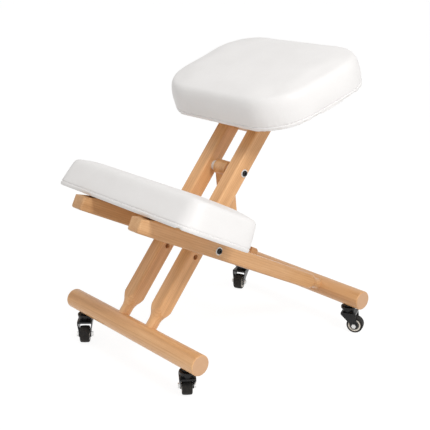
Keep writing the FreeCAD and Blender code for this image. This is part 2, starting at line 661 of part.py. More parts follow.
def make_strut():
    """Make the strut that props the seat arms on the racks, with its bolt and spacers."""
    head_y = STRUT_PIVOT_ALONG
    head_z = STRUT_PIVOT_OFFSET
    foot = strut_foot_in_arm_frame()
    run = Vector(0, foot.y - head_y, foot.z - head_z)
    half = STRUT_WIDTH / 2
    head = rod_x(STRUT_HEAD_RADIUS, -half, half, head_y, head_z)
    heel = rod_x(STRUT_FOOT_RADIUS, -half, half, foot.y, foot.z)
    leg = block(-half, half, 0, run.Length, -STRUT_LEG_DEPTH / 2, STRUT_LEG_DEPTH / 2)
    turn = math.degrees(math.atan2(run.z, run.y))
    leg = placed(leg, Placement(Vector(0, head_y, head_z), Rotation(Vector(1, 0, 0), turn)))
    strut = head.fuse(heel).fuse(leg).removeSplitter()
    strut = strut.cut(rod_x(PIVOT_SLEEVE_RADIUS + RUNNING_FIT, -half - 1, half + 1, head_y, head_z))
    strut = strut.cut(rod_x(FOOT_DOWEL_RADIUS, -half - 1, half + 1, foot.y, foot.z))
    nodes["adjusting_strut"] = placed(strut, SEAT_ARM_PLACE)

    dowel_end = RACK_OUTER + FOOT_DOWEL_REACH
    dowel = rod_x(FOOT_DOWEL_RADIUS, -dowel_end, dowel_end, foot.y, foot.z)
    rims = [edge for edge in dowel.Edges if isinstance(edge.Curve, Part.Circle)]
    nodes["strut_foot_dowel"] = placed(dowel.makeFillet(FOOT_DOWEL_ROUND, rims), SEAT_ARM_PLACE)

    face = SEAT_ARM_OUTER + WASHER_THICKNESS
    shank = rod_x(PIVOT_BOLT_RADIUS, SEAT_ARM_INNER, face + FUSE_LAP, head_y, head_z)
    bolt = socket_head(face, 1, head_y, head_z).fuse(shank).removeSplitter()
    sleeve_end = SEAT_ARM_OUTER - SLEEVE_RECESS
    sleeve = rod_x(PIVOT_SLEEVE_RADIUS, -SEAT_ARM_OUTER, sleeve_end, head_y, head_z)
    cap = socket_head(-face, -1, head_y, head_z)
    neck = rod_x(PIVOT_BOLT_RADIUS, -face - FUSE_LAP, -SEAT_ARM_OUTER, head_y, head_z)
    sleeve = sleeve.fuse(cap).fuse(neck).removeSplitter().cut(shank)
    washer = ring_x(WASHER_RADIUS, PIVOT_BOLT_RADIUS, SEAT_ARM_OUTER, face, head_y, head_z)
    spacer_low = half + FACE_GAP
    spacer = ring_x(STRUT_SPACER_RADIUS, PIVOT_SLEEVE_RADIUS, spacer_low, SEAT_ARM_INNER, head_y, head_z)
    nodes["strut_bolt"] = placed(bolt, SEAT_ARM_PLACE)
    nodes["strut_sleeve_nut"] = placed(sleeve, SEAT_ARM_PLACE)
    nodes["strut_washers"] = placed(mirrored_pair(washer), SEAT_ARM_PLACE)
    nodes["strut_spacers"] = placed(mirrored_pair(spacer), SEAT_ARM_PLACE)


def caster_socket():
    """Return the sleeve that lines a stem hole, on the stem's axis with the floor at z = 0."""
    base = Vector(0, 0, BAR_BOTTOM - SOCKET_FLANGE_THICKNESS)
    sleeve = Part.makeCylinder(SOCKET_RADIUS, SOCKET_LENGTH + SOCKET_FLANGE_THICKNESS, base)
    flange = Part.makeCylinder(SOCKET_FLANGE_RADIUS, SOCKET_FLANGE_THICKNESS, base)
    bore = Part.makeCylinder(STEM_RADIUS + RUNNING_FIT, SOCKET_LENGTH, base)
    return sleeve.fuse(flange).removeSplitter().cut(bore)


def caster_stem():
    """Return the steel stem that stands on the fork's neck and turns in the socket."""
    top = BAR_BOTTOM - SOCKET_FLANGE_THICKNESS + SOCKET_LENGTH - FACE_GAP
    return Part.makeCylinder(STEM_RADIUS, top - RACE_LOW, Vector(0, 0, RACE_LOW))


def caster_race():
    """Return the closed ball race round the stem, between the socket and the fork."""
    race = Part.makeCylinder(RACE_RADIUS, RACE_HEIGHT, Vector(0, 0, RACE_LOW))
    rims = [edge for edge in race.Edges if isinstance(edge.Curve, Part.Circle)]
    race = race.makeFillet(RACE_EDGE_ROUND, rims)
    return race.cut(Part.makeCylinder(STEM_RADIUS, 2 * RACE_HEIGHT, Vector(0, 0, RACE_LOW - RACE_HEIGHT / 2)))


def fork_section(half_low, half_high, top, low):
    """Return the fork's end-on outline, as a face across the wheel: narrow at the axle."""
    points = [
        Vector(0, half_high, top),
        Vector(0, half_high, YOKE_LOW - CHEEK_DROP),
        Vector(0, half_low, WHEEL_RADIUS + AXLE_BOSS_RADIUS),
        Vector(0, half_low, low),
    ]
    points = points + [Vector(0, -point.y, point.z) for point in reversed(points)]
    return Part.Face(Part.makePolygon(points + points[:1]))


def caster_fork():
    """Return the pressed fork: a neck on a yoke, and two cheeks that lean in to the axle."""
    inner = WHEEL_WIDTH / 2 + FORK_SIDE_GAP
    outer = inner + FORK_WALL
    floor = WHEEL_RADIUS - 2 * AXLE_BOSS_RADIUS
    length = YOKE_FRONT + YOKE_BACK + 2 * TRAIL
    solid = fork_section(outer, YOKE_HALF_WIDTH, YOKE_TOP, floor).extrude(Vector(length, 0, 0))
    solid.translate(Vector(-YOKE_FRONT, 0, 0))
    room = fork_section(inner, YOKE_HALF_WIDTH - FORK_WALL, YOKE_LOW, 0).extrude(Vector(2 * length, 0, 0))
    room.translate(Vector(-length / 2, 0, 0))
    side = -2 * YOKE_HALF_WIDTH
    front = Vector(-YOKE_FRONT, side, YOKE_TOP)
    back = Vector(YOKE_BACK, side, YOKE_TOP)
    low_front = Vector(TRAIL - AXLE_BOSS_RADIUS, side, WHEEL_RADIUS)
    low_middle = Vector(TRAIL, side, WHEEL_RADIUS - AXLE_BOSS_RADIUS)
    low_back = Vector(TRAIL + AXLE_BOSS_RADIUS, side, WHEEL_RADIUS)
    front_drop = front - Vector(0, 0, YOKE_THICKNESS)
    back_drop = back - Vector(0, 0, YOKE_THICKNESS)
    outline = Part.Wire([
        Part.makeLine(front, front_drop),
        Part.makeLine(front_drop, low_front),
        Part.Arc(low_front, low_middle, low_back).toShape(),
        Part.makeLine(low_back, back_drop),
        Part.makeLine(back_drop, back),
        Part.makeLine(back, front),
    ])
    seen_from_side = Part.Face(outline).extrude(Vector(0, 4 * YOKE_HALF_WIDTH, 0))
    neck = Part.makeCylinder(FORK_NECK_RADIUS, FORK_NECK_HEIGHT, Vector(0, 0, YOKE_TOP))
    hole_start = Vector(TRAIL, -2 * outer, WHEEL_RADIUS)
    axle_hole = Part.makeCylinder(AXLE_RADIUS, 4 * outer, hole_start, Vector(0, 1, 0))
    fork = solid.cut(room).common(seen_from_side).cut(axle_hole)
    return fork.fuse(neck).removeSplitter()


def caster_axle():
    """Return the zinc axle bolt with its head and nut."""
    outer = WHEEL_WIDTH / 2 + FORK_SIDE_GAP + FORK_WALL
    end = outer + NUT_HEIGHT - AXLE_END_SET_BACK
    rod = Part.makeCylinder(AXLE_RADIUS, 2 * end, Vector(TRAIL, -end, WHEEL_RADIUS), Vector(0, 1, 0))
    turn = Rotation(Vector(1, 0, 0), 90)
    low = hex_prism(NUT_WIDTH, NUT_HEIGHT, Placement(Vector(TRAIL, -outer, WHEEL_RADIUS), turn))
    high = hex_prism(NUT_WIDTH, NUT_HEIGHT, Placement(Vector(TRAIL, outer + NUT_HEIGHT, WHEEL_RADIUS), turn))
    return rod.fuse(low).fuse(high).removeSplitter()


def wheel_turning(profile_points):
    """Return a solid turned about the wheel's axle from radius and width points."""
    points = []
    for radius, across in profile_points:
        points.append(Vector(TRAIL + radius, across, WHEEL_RADIUS))
    face = Part.Face(Part.makePolygon(points + points[:1]))
    return face.revolve(Vector(TRAIL, 0, WHEEL_RADIUS), Vector(0, 1, 0), 360)


def caster_tyre():
    """Return the black tyre, with softened edges and a hole for the hub."""
    half = WHEEL_WIDTH / 2
    inner = WHEEL_RADIUS - TYRE_DEPTH
    one_side = [
        (inner, half - TYRE_INNER_BEVEL),
        (inner + TYRE_INNER_BEVEL, half),
        (WHEEL_RADIUS - TYRE_SIDE_BEVEL, half),
        (WHEEL_RADIUS - TYRE_CROWN_DROP, half - TYRE_SIDE_BEVEL),
        (WHEEL_RADIUS, TYRE_CROWN_WIDTH / 2),
    ]
    other_side = [(radius, -across) for radius, across in reversed(one_side)]
    return wheel_turning(one_side + other_side)


def caster_hub():
    """Return the pale hub: a rim ring under the tyre, a dished web and a bearing tube."""
    half = WHEEL_WIDTH / 2
    rim = WHEEL_RADIUS - TYRE_DEPTH
    bore = AXLE_RADIUS + RUNNING_FIT
    one_side = [
        (bore, half + HUB_RING_STAND),
        (HUB_BOSS_RADIUS, half + HUB_RING_STAND),
        (HUB_BOSS_RADIUS, half - HUB_WEB_SET_BACK),
        (rim - HUB_RIM_THICKNESS, half - HUB_WEB_SET_BACK),
        (rim - HUB_RIM_THICKNESS, half - HUB_RIM_SET_BACK),
        (rim, half - HUB_RIM_SET_BACK),
    ]
    other_side = [(radius, -across) for radius, across in reversed(one_side)]
    return wheel_turning(one_side + other_side)


def caster_guards():
    """Return the two black thread guards that cover the hub's web round the axle boss."""
    low = WHEEL_WIDTH / 2 - HUB_WEB_SET_BACK
    ring = wheel_turning([
        (HUB_BOSS_RADIUS, low),
        (GUARD_RADIUS, low),
        (GUARD_RADIUS, low + GUARD_THICKNESS / 2),
        (GUARD_RADIUS - GUARD_THICKNESS / 2, low + GUARD_THICKNESS),
        (HUB_BOSS_RADIUS, low + GUARD_THICKNESS),
    ])
    return group([ring, ring.mirror(Vector(0, 0, 0), Vector(0, 1, 0))])


def make_casters():
    """Make the four casters, each turned to its own swivel angle."""
    sockets = {"front": [], "rear": []}
    for name, angle in CASTER_ANGLES.items():
        end, hand = name.split("_")
        y = -ORIGIN_Y if end == "front" else WHEELBASE - ORIGIN_Y
        x = -STEM_X if hand == "left" else STEM_X
        place = Placement(Vector(x, y, 0), Rotation(Vector(0, 0, 1), angle))
        sockets[end].append(placed(caster_socket(), place))
        nodes["caster_stem_" + name] = placed(caster_stem(), place)
        nodes["caster_race_" + name] = placed(caster_race(), place)
        nodes["caster_fork_" + name] = placed(caster_fork(), place)
        nodes["caster_axle_" + name] = placed(caster_axle(), place)
        nodes["caster_tyre_" + name] = placed(caster_tyre(), place)
        nodes["caster_hub_" + name] = placed(caster_hub(), place)
        nodes["caster_guards_" + name] = placed(caster_guards(), place)
    for end, shapes in sockets.items():
        nodes[end + "_caster_sockets"] = group(shapes)


def main():
    """Build every piece and write one STEP file for each."""
    make_seat_frame()
    make_knee_frame()
    make_main_pivot()
    make_strut()
    make_casters()
    for name, shape in nodes.items():
        if not shape.isValid():
            print("not valid:", name)
        print(name, len(shape.Solids), "solid(s)", round(shape.Volume / 1000.0, 2), "cm3")
        shape.exportStep("parts/" + name + ".step")


main()
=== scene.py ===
# %% [markdown]
# # A kneeling chair
# Two crossed beech frames carry a white seat and a white knee pad, and roll on four small
# casters. The wood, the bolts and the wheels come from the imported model, where they already
# have their real size and place. This lesson gives every surface its finish, and models
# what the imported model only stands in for: the puffed cushions with their seams, and the
# tyres with their soft shoulders.

# %% Load the frame
import math

import bmesh
import bpy
from mathutils import Euler, Matrix, Vector


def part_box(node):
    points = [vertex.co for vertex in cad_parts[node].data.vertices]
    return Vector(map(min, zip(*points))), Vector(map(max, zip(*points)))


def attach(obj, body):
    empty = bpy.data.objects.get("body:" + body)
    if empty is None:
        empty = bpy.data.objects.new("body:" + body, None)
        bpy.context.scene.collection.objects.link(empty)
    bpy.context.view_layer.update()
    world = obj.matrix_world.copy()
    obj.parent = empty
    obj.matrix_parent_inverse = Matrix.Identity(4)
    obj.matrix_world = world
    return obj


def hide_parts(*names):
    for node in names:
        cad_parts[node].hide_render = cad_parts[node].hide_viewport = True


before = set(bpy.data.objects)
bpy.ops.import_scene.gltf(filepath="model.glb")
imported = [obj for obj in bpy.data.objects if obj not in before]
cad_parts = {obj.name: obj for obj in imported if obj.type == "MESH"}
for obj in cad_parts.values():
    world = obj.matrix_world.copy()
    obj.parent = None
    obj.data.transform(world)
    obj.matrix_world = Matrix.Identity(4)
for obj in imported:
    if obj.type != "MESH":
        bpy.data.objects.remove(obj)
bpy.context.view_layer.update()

MM = 0.001
scene = bpy.context.scene
print("pieces in the frame:", len(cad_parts))

# %% [markdown]
# ## Where things are
# The chair has three directions that nearly everything follows: the seat arms rise to the
# back, the knee arms rise to the front, and the seat is tilted. They could be typed in as
# points, but a place that is read from the frame stays right when the frame changes, so
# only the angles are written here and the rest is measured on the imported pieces.

# %% Measure the frame
SEAT_ARM_ANGLE = math.radians(50.8)
KNEE_ARM_ANGLE = math.radians(26.8)
SEAT_TILT = math.radians(18.0)
BOARD_THICKNESS = 12 * MM


def middle(node):
    """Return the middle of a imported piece."""
    low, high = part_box(node)
    return (low + high) / 2


def board_place(board, tilt):
    """Return the frame of a cushion board: z out of its upper face, origin on its underside."""
    turned = Matrix.Rotation(tilt, 4, "X")
    up = turned.to_3x3() @ Vector((0, 0, 1))
    return Matrix.Translation(middle(board) - up * BOARD_THICKNESS / 2) @ turned


front_bar = middle("front_foot_bar")
seat_place = board_place("seat_board", SEAT_TILT)
knee_place = board_place("knee_board", -KNEE_ARM_ANGLE)
print("front bar", front_bar)
print("seat board", seat_place.translation, "knee board", knee_place.translation)

# %% [markdown]
# ## The camera
# A photograph is matched by a camera that stands where the photographer stood. Its place
# is given from the front foot bar, because that is the piece the view was measured from.
# The three directions of the camera fill the columns of its matrix, which is surer than
# turning it by angles. The focal length comes from pixels: a lens in millimetres is the
# focal length in pixels times the sensor's width over the picture's width.

# %% Place the camera
CAMERA_SIDE = 1437.6 * MM
CAMERA_AHEAD = 1016.6 * MM
CAMERA_HEIGHT = 907.9 * MM
CAMERA_AZIMUTH = math.radians(48.88)
CAMERA_ELEVATION = math.radians(17.68)
FOCAL_PIXELS = 881.8
FRAME_PIXELS = 430
SENSOR_MM = 36

camera_back = Vector((
    math.sin(CAMERA_AZIMUTH) * math.cos(CAMERA_ELEVATION),
    -math.cos(CAMERA_AZIMUTH) * math.cos(CAMERA_ELEVATION),
    math.sin(CAMERA_ELEVATION),
))
camera_right = Vector((math.cos(CAMERA_AZIMUTH), math.sin(CAMERA_AZIMUTH), 0))
camera_up = camera_back.cross(camera_right)
camera_spot = Vector((CAMERA_SIDE, front_bar.y - CAMERA_AHEAD, CAMERA_HEIGHT))

camera = bpy.data.objects.new("camera", bpy.data.cameras.new("camera"))
scene.collection.objects.link(camera)
camera.matrix_world = Matrix.Translation(camera_spot) @ Matrix((
    camera_right, camera_up, camera_back,
)).transposed().to_4x4()
camera.data.sensor_width = SENSOR_MM
camera.data.lens = FOCAL_PIXELS / FRAME_PIXELS * SENSOR_MM
scene.camera = camera
print("lens", round(camera.data.lens, 1), "mm")

# %% [markdown]
# ## Sums on sockets
# A material is a graph, and a graph written node by node is hard to read. Here a socket is
# wrapped in a small class, so that a pattern can be written as a sum. Each sum adds its own
# Math node. The reflected forms, such as __radd__, let a plain number come first.

# %% A wrapper for sockets


class Value:
    """One output socket of a material, on which sums can be written."""

    def __init__(self, paint, socket):
        self.paint = paint
        self.socket = socket

    def math(self, operation, first, second):
        return self.paint.node("ShaderNodeMath", {"operation": operation}, {0: first, 1: second})

    def alone(self, operation):
        return self.paint.node("ShaderNodeMath", {"operation": operation}, {0: self})

    def __add__(self, other):
        return self.math("ADD", self, other)

    def __radd__(self, other):
        return self.math("ADD", other, self)

    def __sub__(self, other):
        return self.math("SUBTRACT", self, other)

    def __rsub__(self, other):
        return self.math("SUBTRACT", other, self)

    def __mul__(self, other):
        return self.math("MULTIPLY", self, other)

    def __rmul__(self, other):
        return self.math("MULTIPLY", other, self)

    def __truediv__(self, other):
        return self.math("DIVIDE", self, other)

    def __rtruediv__(self, other):
        return self.math("DIVIDE", other, self)

    def __pow__(self, other):
        return self.math("POWER", self, other)


# %% [markdown]
# ## One method for every other node
# A material under construction knows its nodes, its links and its surface shader. All its
# nodes come from one method, which sets the node's choices first, because some of them
# change which sockets it has. The short methods after it name the nodes used most.

# %% A material under construction


class Paint:
    """A material under construction, with its surface shader ready to be fed."""

    def __init__(self, name, **constants):
        self.material = bpy.data.materials.new(name)
        self.material.use_nodes = True
        self.nodes = self.material.node_tree.nodes
        self.links = self.material.node_tree.links
        self.shader = self.nodes["Principled BSDF"]
        for socket, value in constants.items():
            self.shader.inputs[socket.replace("_", " ")].default_value = value

    def node(self, kind, settings=None, inputs=None, out=0):
        """Add a node of a type, with its settings first and then its values and links."""
        made = self.nodes.new(kind)
        for name, value in (settings or {}).items():
            if name == "stops":
                self.fill_ramp(made.color_ramp, value)
            else:
                setattr(made, name, value)
        for name, value in (inputs or {}).items():
            if isinstance(value, Value):
                self.links.new(value.socket, made.inputs[name])
            elif made.inputs[name].type == "RGBA":
                made.inputs[name].default_value = (*value, 1)
            else:
                made.inputs[name].default_value = value
        return Value(self, made.outputs[out])

    def fill_ramp(self, ramp, stops):
        """Give a colour ramp its stops, from the lowest to the highest."""
        first, last = stops[0], stops[-1]
        ramp.elements[0].position, ramp.elements[0].color = first[0], (*first[1], 1)
        ramp.elements[1].position, ramp.elements[1].color = last[0], (*last[1], 1)
        for place, colour in stops[1:-1]:
            ramp.elements.new(place).color = (*colour, 1)

    def mapped(self, turn=(0, 0, 0), shift=(0, 0, 0)):
        """Return the piece's own coordinates, turned and then shifted."""
        place = self.node("ShaderNodeTexCoord", out="Object")
        inputs = {"Vector": place, "Rotation": turn, "Location": shift}
        return self.node("ShaderNodeMapping", inputs=inputs)

    def parts(self, vector):
        """Return the three numbers of a vector."""
        split = self.node("ShaderNodeSeparateXYZ", inputs={0: vector})
        return [Value(self, socket) for socket in split.socket.node.outputs]

    def stretched(self, vector, factors):
        """Return coordinates multiplied along each axis."""
        settings = {"operation": "MULTIPLY"}
        return self.node("ShaderNodeVectorMath", settings, {0: vector, 1: factors})

    def noise(self, vector, scale, detail, roughness):
        """Return a soft random value from 0 to 1."""
        inputs = {"Vector": vector, "Scale": scale, "Detail": detail, "Roughness": roughness}
        return self.node("ShaderNodeTexNoise", inputs=inputs)

    def between(self, value, low, high, to_low=0.0, to_high=1.0):
        """Return a value mapped from one range to another and held inside it."""
        inputs = {0: value, 1: low, 2: high, 3: to_low, 4: to_high}
        return self.node("ShaderNodeMapRange", inputs=inputs)

    def mixed(self, factor, first, second):
        """Return two colours mixed by a factor."""
        inputs = {0: factor, 6: first, 7: second}
        return self.node("ShaderNodeMix", {"data_type": "RGBA"}, inputs, out=2)

    def ramp(self, factor, stops):
        """Return the colour that a ramp has at a factor."""
        return self.node("ShaderNodeValToRGB", {"stops": stops}, {"Fac": factor})

    def feed(self, socket, value):
        """Join a value to a socket of the surface shader."""
        self.links.new(value.socket, self.shader.inputs[socket])

    def bump(self, height, distance, strength):
        """Let a height from 0 to 1 raise the surface by a distance."""
        inputs = {"Height": height, "Distance": distance, "Strength": strength}
        self.feed("Normal", self.node("ShaderNodeBump", inputs=inputs))


# %% [markdown]
# ## Lacquered beech
# Beech is a pale pinkish wood with a straight grain, faint growth rings, and small dark
# flecks a few millimetres long. A photograph of planks would repeat and show seams at the
# corners. A solid pattern doesn't: it is worked out in three dimensions, as if the piece
# were cut from a log, so rings run along the sides and curve across the ends. The log's
# middle is put a few centimetres outside each piece, as in a sawn board. A Mapping node
# turns the log until its length lies along the piece. Each pattern is then stretched by
# three factors, a small one along the log and large ones across it, which draws it out
# into streaks.

# %% The beech material
BEECH_LIGHT = (0.82, 0.500, 0.255)
BEECH_MIDDLE = (0.69, 0.380, 0.172)
BEECH_DARK = (0.46, 0.220, 0.085)
BEECH_END = (0.58, 0.385, 0.270)
BEECH_STOPS = [(0.34, BEECH_LIGHT), (0.56, BEECH_MIDDLE), (0.86, BEECH_DARK)]
RING_SPACING = 3.4 * MM
RING_WAVER = 9 * MM
RING_RIPPLE = 2 * MM
RING_SHARPNESS = 2.2
PITH_OUTSIDE = Vector((46 * MM, 0, 62 * MM))
STREAK_STRETCH = (75, 4.0, 75)
BAND_STRETCH = (24, 1.6, 24)
FIBRE_STRETCH = (900, 30, 900)
FLECK_STRETCH = (1100, 260, 1100)
PORE_STRETCH = (1400, 1, 1400)
GRAIN_RELIEF = 0.06 * MM
END_FADE = 0.5 * MM
END_MARGIN = 0.3 * MM
END_COVER = 0.85


def beech(name, grain_turn, on_axis, cut, tone, half_length):
    """Make lacquered beech whose grain is turned to lie along a piece.

    The turn brings the piece's length to the pattern's Y. The cut moves the piece along the
    log, so that no two pieces show the same grain. The tone makes it lighter or darker.
    Only a piece with a half length shows paler end grain.
    """
    paint = Paint(name, Coat_Weight=0.30, Coat_Roughness=0.12, Specular_IOR_Level=0.30)
    on_log = Euler(grain_turn).to_matrix() @ on_axis
    shift = PITH_OUTSIDE - Vector((on_log.x, cut, on_log.z))
    log = paint.mapped(grain_turn, shift)
    streaks = paint.noise(paint.stretched(log, STREAK_STRETCH), 1.0, 3.0, 0.5)
    bands = paint.noise(paint.stretched(log, BAND_STRETCH), 1.0, 2.0, 0.5)
    fibres = paint.noise(paint.stretched(log, FIBRE_STRETCH), 1.0, 2.0, 0.6)
    across, along, height = paint.parts(log)
    radius = (across * across + height * height) ** 0.5
    age = (radius + bands * RING_WAVER + streaks * RING_RIPPLE) / RING_SPACING
    season = age.alone("FRACT") ** RING_SHARPNESS
    cells = paint.node(
        "ShaderNodeTexVoronoi",
        {"feature": "F1"},
        {"Vector": paint.stretched(log, FLECK_STRETCH), "Scale": 1.0},
    )
    flecks = paint.between(cells, 0.10, 0.30, 1.0, 0.0)
    growth = 0.10 + 0.50 * streaks + 0.34 * bands + 0.13 * season
    shade = growth + 0.24 * (fibres - 0.5) + 0.14 * flecks
    stops = [(place, tuple(tone * part for part in colour)) for place, colour in BEECH_STOPS]
    colour = paint.ramp(shade, stops)
    if half_length:
        rim = half_length - END_MARGIN
        at_end = paint.between((along + cut).alone("ABSOLUTE"), rim - END_FADE, rim, 0.0, END_COVER)
        pores = paint.noise(paint.stretched(log, PORE_STRETCH), 1.0, 2.0, 0.6)
        colour = paint.mixed(at_end, colour, paint.mixed(pores, BEECH_END, BEECH_MIDDLE))
    paint.feed("Base Color", colour)
    paint.feed("Roughness", 0.34 + 0.16 * fibres + 0.05 * flecks)
    paint.bump(fibres - 0.6 * flecks + 0.3 * season, GRAIN_RELIEF, 0.5)
    return paint.material


STRUT_LEAN = math.radians(83.5)
ALONG_X = (0, 0, math.pi / 2)
ALONG_SEAT_ARM = (-SEAT_ARM_ANGLE, 0, 0)
ALONG_KNEE_ARM = (KNEE_ARM_ANGLE - math.pi, 0, 0)
ALONG_STRUT = (-STRUT_LEAN, 0, 0)
print("growth rings", round(RING_SPACING / MM, 1), "mm apart")

# %% [markdown]
# ## White leatherette
# Each of the other finishes is a plain colour with what makes it real. What is the same all
# over goes straight on the shader's socket, and only what varies gets nodes. The cover of
# the pads has a pebbled grain under a millimetre wide, fine creases, and a slightly uneven
# white where the foam shows through. The hollows between the pebbles get painted shade.

# %% The leatherette
LEATHER_WHITE = (0.875, 0.862, 0.856)
# The darker white serves both the uneven foam and the painted shade in the pebbles' hollows.
LEATHER_UNEVEN_AND_HOLLOW_SHADE = (0.835, 0.820, 0.812)
PEBBLE_SCALE = 820.0
CREASE_SCALE = 260.0
PEBBLE_RELIEF = 0.10 * MM


def leatherette():
    """White leatherette: a pebbled grain, uneven white from the foam, painted shade in the hollows.
    """
    paint = Paint("white_leatherette", Coat_Weight=0.12, Coat_Roughness=0.32)
    skin = paint.mapped()
    uneven = paint.noise(skin, 14.0, 4.0, 0.6)
    pores = paint.node(
        "ShaderNodeTexVoronoi",
        {"feature": "SMOOTH_F1"},
        {"Vector": skin, "Scale": PEBBLE_SCALE, "Smoothness": 0.35},
    )
    crease = paint.noise(skin, CREASE_SCALE, 3.0, 0.6)
    # The pores' share puts painted shade in the hollows between the pebbles; the rest is uneven
    # white from the foam.
    shade = paint.between(uneven * 0.75 + pores * 0.25, 0.35, 0.75)
    paint.feed("Base Color", paint.mixed(shade, LEATHER_WHITE, LEATHER_UNEVEN_AND_HOLLOW_SHADE))
    paint.feed("Roughness", 0.40 + 0.10 * uneven + 0.08 * pores)
    paint.bump(crease * 0.5 - pores, PEBBLE_RELIEF, 0.55)
    return paint.material


leather = leatherette()
print("made", leather.name)

# %% [markdown]
# ## Plywood
# The boards under the pads show only their lower face and edge. The pattern's coordinates
# are turned and shifted until z stands on the board, and a ping-pong of z, which runs up
# and down between two levels, lays the veneers.

# %% The plywood
PLY_THICKNESS = 1.7 * MM
PLY_STRETCH = (9, 160, 160)
PLY_RELIEF = 0.08 * MM
PLY_STOPS = [
    (0.2, (0.72, 0.53, 0.34)),
    (0.55, (0.62, 0.43, 0.25)),
    (0.9, (0.42, 0.26, 0.13)),
]


def plywood(name, board_frame, tilt):
    """Birch plywood: veneers that show as stripes where the board's edge cuts them."""
    paint = Paint(name, Roughness=0.7)
    level = Matrix.Rotation(-tilt, 3, "X") @ board_frame.translation
    board = paint.mapped((-tilt, 0, 0), tuple(-level))
    height = paint.parts(board)[2]
    plies = height.math("PINGPONG", height, PLY_THICKNESS) / PLY_THICKNESS
    grain = paint.noise(paint.stretched(board, PLY_STRETCH), 1.0, 4.0, 0.6)
    paint.feed("Base Color", paint.ramp(0.55 * grain + 0.45 * plies, PLY_STOPS))
    paint.bump(grain, PLY_RELIEF, 0.5)
    return paint.material


seat_ply = plywood("seat_plywood", seat_place, SEAT_TILT)
knee_ply = plywood("knee_plywood", knee_place, -KNEE_ARM_ANGLE)
print("made", seat_ply.name, "and", knee_ply.name)

# %% [markdown]
# ## Metal, rubber and plastic
# The small parts follow one recipe: two shades of a colour mixed by a soft noise, a
# roughness that goes with it, and a very low relief. The black coating gets orange peel
# and a little dust, the zinc a cloudy shine and fine scratches, the rubber a dusty bloom,
# and the moulded plastics a faint flow.

# %% The small finishes
BLACK_CLEAN = (0.006, 0.006, 0.007)
BLACK_DUSTY = (0.016, 0.015, 0.015)
ZINC_DULL = (0.62, 0.62, 0.61)
ZINC_BRIGHT = (0.80, 0.80, 0.79)
ZINC_STRETCH = (3000, 300, 3000)
RUBBER_CLEAN = (0.013, 0.012, 0.011)
RUBBER_DUSTY = (0.032, 0.029, 0.026)
HUB_COLOURS = ((0.80, 0.77, 0.70), (0.70, 0.66, 0.58))
WHITE_NYLON_COLOURS = ((0.86, 0.86, 0.85), (0.76, 0.76, 0.74))
BLACK_NYLON_COLOURS = ((0.016, 0.016, 0.017), (0.032, 0.031, 0.030))
PEEL_RELIEF = 0.03 * MM
SCRATCH_RELIEF = 0.01 * MM
RUBBER_RELIEF = 0.04 * MM
PLASTIC_RELIEF = 0.02 * MM


def black_steel(name, sheen_roughness):
    """Black coated steel with a faint orange peel and a little dust in soft patches."""
    paint = Paint(name, Specular_IOR_Level=0.30)
    skin = paint.mapped()
    dust = paint.noise(skin, 180.0, 4.0, 0.6)
    peel = paint.noise(skin, 1500.0, 2.0, 0.5)
    dusty = paint.between(dust, 0.4, 0.8)
    paint.feed("Base Color", paint.mixed(dusty, BLACK_CLEAN, BLACK_DUSTY))
    paint.feed("Roughness", sheen_roughness + 0.15 * dust)
    paint.bump(peel, PEEL_RELIEF, 0.5)
    return paint.material


def zinc():
    """Bright zinc plate, slightly cloudy and finely scratched."""
    paint = Paint("zinc_plate", Metallic=1.0)
    skin = paint.mapped()
    cloud = paint.noise(skin, 220.0, 3.0, 0.5)
    scratch = paint.noise(paint.stretched(skin, ZINC_STRETCH), 1.0, 2.0, 0.6)
    paint.feed("Base Color", paint.mixed(cloud, ZINC_DULL, ZINC_BRIGHT))
    paint.feed("Roughness", 0.24 + 0.16 * cloud + 0.08 * scratch)
    paint.bump(scratch, SCRATCH_RELIEF, 0.4)
    return paint.material


def rubber():
    """Matt black tyre rubber with a dusty bloom."""
    paint = Paint("tyre_rubber", Specular_IOR_Level=0.20)
    skin = paint.mapped()
    bloom = paint.noise(skin, 120.0, 5.0, 0.65)
    dusty = paint.between(bloom, 0.35, 0.75)
    paint.feed("Base Color", paint.mixed(dusty, RUBBER_CLEAN, RUBBER_DUSTY))
    paint.feed("Roughness", 0.52 + 0.22 * bloom)
    paint.bump(paint.noise(skin, 2200.0, 2.0, 0.5), RUBBER_RELIEF, 0.5)
    return paint.material


def moulded(name, colours, rough):
    """Injection-moulded plastic: an even colour with a faint flow and a satin skin."""
    paint = Paint(name, Specular_IOR_Level=0.5)
    skin = paint.mapped()
    flow = paint.noise(skin, 90.0, 4.0, 0.6)
    paint.feed("Base Color", paint.mixed(flow, *colours))
    paint.feed("Roughness", rough + 0.12 * flow)
    paint.bump(paint.noise(skin, 1800.0, 2.0, 0.5), PLASTIC_RELIEF, 0.4)
    return paint.material


fork_black = black_steel("black_steel", 0.16)
bolt_black = black_steel("black_bolt_steel", 0.22)
zinc_plate = zinc()
tyre_black = rubber()
hub_cream = moulded("hub_plastic", HUB_COLOURS, 0.34)
nylon_white = moulded("white_nylon", WHITE_NYLON_COLOURS, 0.36)
nylon_black = moulded("black_nylon", BLACK_NYLON_COLOURS, 0.42)
print("materials:", len(bpy.data.materials))

# %% [markdown]
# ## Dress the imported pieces
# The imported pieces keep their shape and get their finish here. A wooden piece needs its own
# material, because its grain follows its own length. Its row says which way the grain runs,
# where along the log it is cut and how light it is. Only the round foot bars show end
# grain, so only they get their half length. The other pieces share one material for each finish,
# which is found by the end of their name.

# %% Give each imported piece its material


def dress(node, material):
    """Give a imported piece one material."""
    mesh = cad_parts[node].data
    mesh.materials.clear()
    mesh.materials.append(material)


